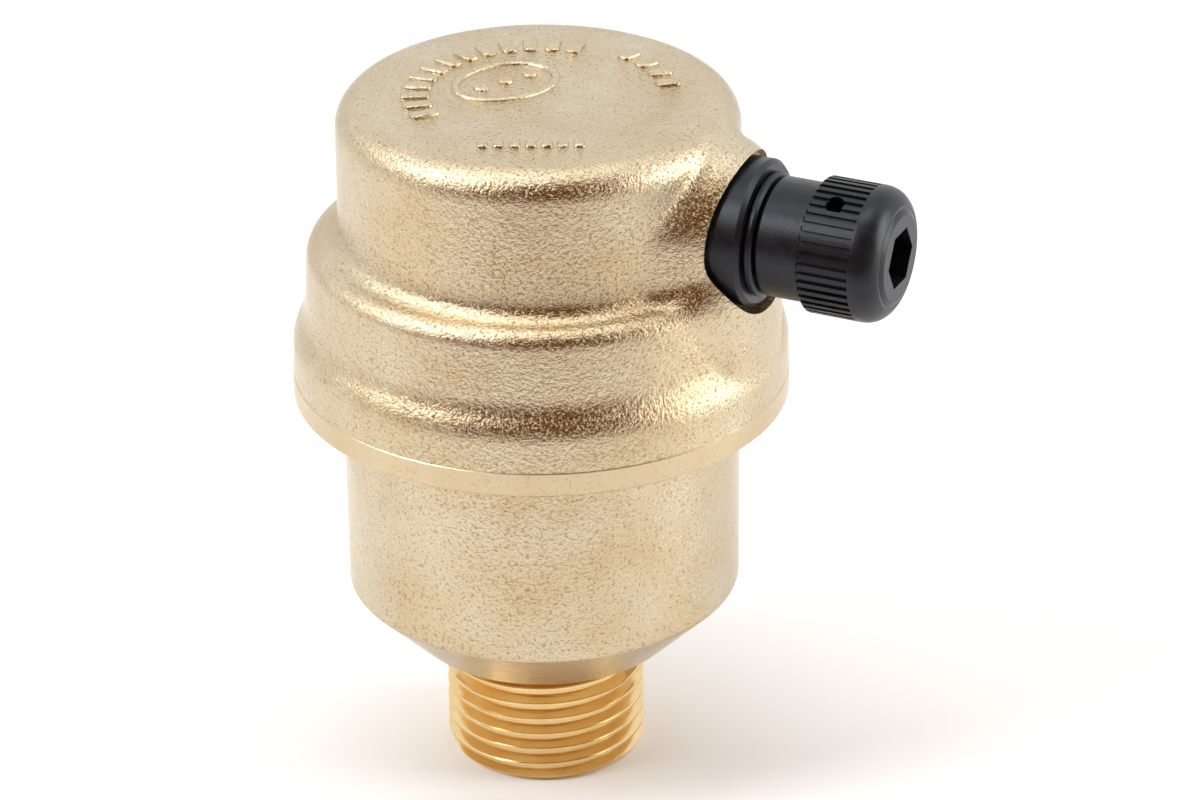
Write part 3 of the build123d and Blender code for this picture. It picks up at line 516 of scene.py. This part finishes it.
def build_cover():
    """The replacement cover."""
    profile = cover_profile()
    near = np.radians(np.arange(-FINE_SPAN, FINE_SPAN, FINE_STEP))
    far = np.radians(np.arange(FINE_SPAN, 360 - FINE_SPAN, COARSE_STEP))
    angles = np.concatenate([near, far])
    heights = np.array([point[1] for point in profile])
    radii = cover_radius(angles, heights, profile)
    mesh = bmesh.new()
    rows = []
    for column, height in enumerate(heights):
        row = []
        for index, angle in enumerate(angles):
            radius = radii[index, column]
            point = (radius * math.cos(angle) * MM, radius * math.sin(angle) * MM, height * MM)
            row.append(mesh.verts.new(point))
        rows.append(row)
    for radius, height in HOLLOW:
        rows.append([
            mesh.verts.new((radius * math.cos(angle) * MM, radius * math.sin(angle) * MM, height * MM))
            for angle in angles
        ])
    # flat top: rings towards the middle
    top_rings = []
    for share in TOP_RING_SHARES:
        top_rings.append([mesh.verts.new((v.co.x * share, v.co.y * share, TOP * MM)) for v in rows[0]])
    count = len(angles)

    def bridge(first, second):
        for index in range(count):
            after = (index + 1) % count
            mesh.faces.new((first[index], first[after], second[after], second[index]))

    for first, second in zip(rows[:-1], rows[1:]):
        bridge(first, second)
    previous = rows[0]
    for ring in top_rings:
        bridge(previous, ring)
        previous = ring
    mesh.faces.new(previous)
    mesh.faces.new(rows[-1])
    bmesh.ops.recalc_face_normals(mesh, faces=mesh.faces)
    made = as_object(mesh, "cover_cast")
    vent_start = Vector((0, 0, VENT_Z))
    along = Vector((1, 0, 0))
    side = Vector((0, 1, 0))
    recess = [
        (0, RECESS_FLOOR * MM), (RECESS_RADIUS * MM, RECESS_FLOOR * MM),
        (RECESS_RADIUS * MM, CUTTER_END * MM), (0, CUTTER_END * MM),
    ]
    cut(made, revolved("recess_cutter", recess, CUTTER_SIDES, vent_start, along, side))
    bore = [
        (0, BOSS_BORE_START * MM), (BOSS_BORE_RADIUS * MM, BOSS_BORE_START * MM),
        (BOSS_BORE_RADIUS * MM, (RECESS_FLOOR + 1) * MM), (0, (RECESS_FLOOR + 1) * MM),
    ]
    cut(made, revolved("bore_cutter", bore, CUTTER_SIDES, vent_start, along, side))
    return made


def shade(obj, angle):
    """Smooth shading, with creases sharper than an angle kept."""
    bpy.context.view_layer.objects.active = obj
    for other in bpy.context.selected_objects:
        other.select_set(False)
    obj.select_set(True)
    bpy.ops.object.shade_smooth_by_angle(angle=math.radians(angle))
    obj.select_set(False)


cover_cast = build_cover()
shade(cover_cast, 40)
cover_cast.data.materials.clear()
cover_cast.data.materials.append(finishes["cast_brass"])
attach(cover_cast, "housing")
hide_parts("cover")

# ---------------------------------------------------------------- raised marks on the cover top
# Plain bars, an oval ring and dots with soft cast edges, in millimetres, turned from +X.
# An arc is its radius, number of bars, first angle and step in degrees, and bar size with corner.
MARK_TURN = math.radians(25.0)
LONG_ARC = (12.4, 13, 72, 11, (3.0, 1.5, 0.45))
SHORT_ARC = (13.4, 4, 10, 12, (2.5, 1.5, 0.45))
ROW_CENTRE = (-0.6, -12.7)
ROW_BAR = (1.1, 1.5, 0.3)
ROW_STEP = 1.6
BADGE_CENTRE = (-3.3, 3.2)
BADGE_TURN = math.radians(35.0)
BADGE_RADII = (5.45, 4.25)
BADGE_SIDES = 72
DOT = (1.6, 1.6, 0.8)
DOT_STEP = 3.0
CORNER_MIN = 0.06
# the bars as (inset, height) layers, and the ring's section as (offset, height), above the top
BAR_LAYERS = ((0.0, -0.1), (0.0, 0.12), (0.09, 0.24), (0.22, 0.3))
RING_SECTION = (
    (-0.5, -0.1), (-0.46, 0.08), (-0.26, 0.24), (0.0, 0.3), (0.26, 0.24), (0.46, 0.08), (0.5, -0.1),
)


def mark_point(mesh, centre, turn, x, y, height):
    """A vertex of a mark from its own place, in the turned frame on the cover's top."""
    along = centre[0] + x * math.cos(turn) - y * math.sin(turn)
    across = centre[1] + x * math.sin(turn) + y * math.cos(turn)
    world_x = along * math.cos(MARK_TURN) - across * math.sin(MARK_TURN)
    world_y = along * math.sin(MARK_TURN) + across * math.cos(MARK_TURN)
    return mesh.verts.new((world_x * MM, world_y * MM, (TOP + height) * MM))


def join_rings(mesh, rings, closed):
    """Faces between neighbouring rings; an open stack gets a cap at both ends."""
    pairs = list(zip(rings[:-1], rings[1:]))
    if closed:
        pairs.append((rings[-1], rings[0]))
    for first, second in pairs:
        for index in range(len(first)):
            after = (index + 1) % len(first)
            mesh.faces.new((first[index], first[after], second[after], second[index]))
    if not closed:
        mesh.faces.new(rings[0])
        mesh.faces.new(rings[-1])


def add_bar(mesh, centre, turn, length, width, corner):
    """A raised bar with round corners and a soft upper edge."""
    rings = []
    for inset, height in BAR_LAYERS:
        half_x, half_y = length / 2 - inset, width / 2 - inset
        radius = max(corner - inset, CORNER_MIN)
        ring = []
        for quarter, (sign_x, sign_y) in enumerate(((1, 1), (-1, 1), (-1, -1), (1, -1))):
            for step in range(4):
                swing = math.radians(90 * quarter + 30 * step)
                x = sign_x * (half_x - radius) + radius * math.cos(swing)
                y = sign_y * (half_y - radius) + radius * math.sin(swing)
                ring.append(mark_point(mesh, centre, turn, x, y, height))
        rings.append(ring)
    join_rings(mesh, rings, False)


def on_circle(radius, degrees):
    """A point on a circle round the cover's axis, in the turned frame."""
    return radius * math.cos(math.radians(degrees)), radius * math.sin(math.radians(degrees))


def build_marks():
    """All the raised marks as one mesh."""
    mesh = bmesh.new()
    for radius, count, start, step, bar in (LONG_ARC, SHORT_ARC):
        for index in range(count):
            degrees = start + step * index
            add_bar(mesh, on_circle(radius, degrees), math.radians(degrees), *bar)
    for index in range(-3, 4):
        add_bar(mesh, (ROW_CENTRE[0] + ROW_STEP * index, ROW_CENTRE[1]), 0.0, *ROW_BAR)
    for index in (-1, 0, 1):
        dot_x = DOT_STEP * index * math.cos(BADGE_TURN)
        dot_y = DOT_STEP * index * math.sin(BADGE_TURN)
        add_bar(mesh, (BADGE_CENTRE[0] + dot_x, BADGE_CENTRE[1] + dot_y), 0.0, *DOT)
    rings = []
    for offset, height in RING_SECTION:
        ring = []
        for step in range(BADGE_SIDES):
            turn = 2 * math.pi * step / BADGE_SIDES
            x, y = (BADGE_RADII[0] + offset) * math.cos(turn), (BADGE_RADII[1] + offset) * math.sin(turn)
            ring.append(mark_point(mesh, BADGE_CENTRE, BADGE_TURN, x, y, height))
        rings.append(ring)
    join_rings(mesh, rings, True)
    bmesh.ops.recalc_face_normals(mesh, faces=mesh.faces)
    return as_object(mesh, "cover_marks")


cover_marks = build_marks()
shade(cover_marks, 50)
cover_marks.data.materials.append(finishes["cast_brass"])
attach(cover_marks, "housing")

# ---------------------------------------------------------------- studio
AZIMUTH = math.radians(25.0)
ELEVATION = math.radians(26.9)
CAMERA_DISTANCE = 0.530
CAMERA_LENS = 152.8
CAMERA_ROLL = math.radians(0.47)
LOOK_RIGHT = 0.00603
LOOK_HEIGHT = 0.04006
FLOOR_FRONT = 0.22
FLOOR_SIZE = 6.0
PAPER_WHITE = (0.93, 0.93, 0.93, 1)
ROOM_WHITE = (1.0, 1.0, 1.0)
ROOM_WARM = (0.16, 0.070, 0.018)
ROOM_STRENGTH = 1.10
# where the warm patch fades in: sideways, above the ground and towards the zenith
PATCH_SIDE = (0.05, 0.32)
PATCH_LOW = (-0.50, -0.35)
PATCH_HIGH = (0.89, 0.96)

right = Vector((math.cos(AZIMUTH), math.sin(AZIMUTH), 0))
away = Vector((-math.sin(AZIMUTH), math.cos(AZIMUTH), 0))
forward = away * math.cos(ELEVATION) - Vector((0, 0, 1)) * math.sin(ELEVATION)
up = away * math.sin(ELEVATION) + Vector((0, 0, 1)) * math.cos(ELEVATION)


def place(obj, origin, x_axis, y_axis):
    """Puts an object at a point with its X and Y axes along two directions."""
    turned = Matrix((x_axis, y_axis, x_axis.cross(y_axis))).transposed()
    obj.matrix_world = Matrix.Translation(origin) @ turned.to_4x4()


camera = bpy.data.objects.new("camera", bpy.data.cameras.new("camera"))
bpy.context.collection.objects.link(camera)
camera.data.lens = CAMERA_LENS
camera.data.sensor_width = 36.0
camera.data.clip_start = 0.01
target = right * LOOK_RIGHT + Vector((0, 0, LOOK_HEIGHT))
rolled_x = right * math.cos(CAMERA_ROLL) - up * math.sin(CAMERA_ROLL)
rolled_y = up * math.cos(CAMERA_ROLL) + right * math.sin(CAMERA_ROLL)
place(camera, target - forward * CAMERA_DISTANCE, rolled_x, rolled_y)
bpy.context.scene.camera = camera


def area_light(name, direction, distance, size, power):
    """A soft white panel that looks at the middle of the object."""
    data = bpy.data.lights.new(name, "AREA")
    data.shape = "RECTANGLE"
    data.size, data.size_y = size
    data.energy = power
    lamp = bpy.data.objects.new(name, data)
    bpy.context.collection.objects.link(lamp)
    middle = Vector((0, 0, LOOK_HEIGHT))
    lamp.location = middle + direction.normalized() * distance
    lamp.rotation_euler = (middle - lamp.location).to_track_quat("-Z", "Y").to_euler()


def toward(side, height, near):
    """A direction from the object: to the camera's right, up, and towards the camera."""
    return right * side + Vector((0, 0, 1)) * height - away * near


area_light("key_left", toward(-0.9, 0.9, 0.40), 0.60, (0.20, 0.26), 2.0)
area_light("fill_right", toward(1.2, 0.35, 0.15), 0.70, (0.30, 0.45), 2.8)
area_light("top_front", toward(0.0, 1.0, 0.08), 0.60, (0.40, 0.14), 0.7)

floor_mat, floor_tree, floor_shader = new_material("floor_paper")
floor_coords = node(floor_tree, "ShaderNodeTexCoord").outputs["Object"]
floor_grain = noise(floor_tree, floor_coords, 900, 3.0, 0.5)
floor_shader.inputs["Base Color"].default_value = PAPER_WHITE
floor_shader.inputs["Roughness"].default_value = 0.9
floor_tree.links.new(bump(floor_tree, floor_grain, 0.05, 0.0001), floor_shader.inputs["Normal"])
# the paper reaches FLOOR_FRONT towards the camera and far back
floor_middle = away * (FLOOR_SIZE / 2 - FLOOR_FRONT)
bpy.ops.mesh.primitive_plane_add(size=FLOOR_SIZE, location=floor_middle, rotation=(0, 0, AZIMUTH))
floor = bpy.context.object
floor.name = "floor"
floor.data.materials.append(floor_mat)

# the room: white all round, with a dim warm patch in front of the object, which gives the brass its
# dark bands and is the backdrop in views from behind
world = bpy.data.worlds.new("studio")
bpy.context.scene.world = world
world.use_nodes = True
world_tree = world.node_tree
background = world_tree.nodes["Background"]
world_direction = node(world_tree, "ShaderNodeTexCoord").outputs["Generated"]
world_split = node(world_tree, "ShaderNodeSeparateXYZ")
world_tree.links.new(world_direction, world_split.inputs[0])


def smooth_step(tree, value, start, end):
    """0 below start, 1 above end, smooth between."""
    made = node(tree, "ShaderNodeMapRange", interpolation_type="SMOOTHSTEP")
    made.inputs["From Min"].default_value = start
    made.inputs["From Max"].default_value = end
    tree.links.new(value, made.inputs["Value"])
    return made.outputs["Result"]


facing = node(world_tree, "ShaderNodeVectorMath", operation="DOT_PRODUCT")
facing.inputs[1].default_value = tuple(-away)
world_tree.links.new(world_direction, facing.inputs[0])
front = smooth_step(world_tree, facing.outputs["Value"], *PATCH_SIDE)
above = smooth_step(world_tree, world_split.outputs["Z"], *PATCH_LOW)
below = math_node(world_tree, "SUBTRACT", 1.0, smooth_step(world_tree, world_split.outputs["Z"], *PATCH_HIGH))
dim = math_node(world_tree, "MULTIPLY", front, math_node(world_tree, "MULTIPLY", above, below))
room = mix(world_tree, "RGBA", dim, ROOM_WHITE, ROOM_WARM)
world_tree.links.new(room, background.inputs["Color"])
background.inputs["Strength"].default_value = ROOM_STRENGTH
bpy.context.scene.view_settings.view_transform = "Standard"
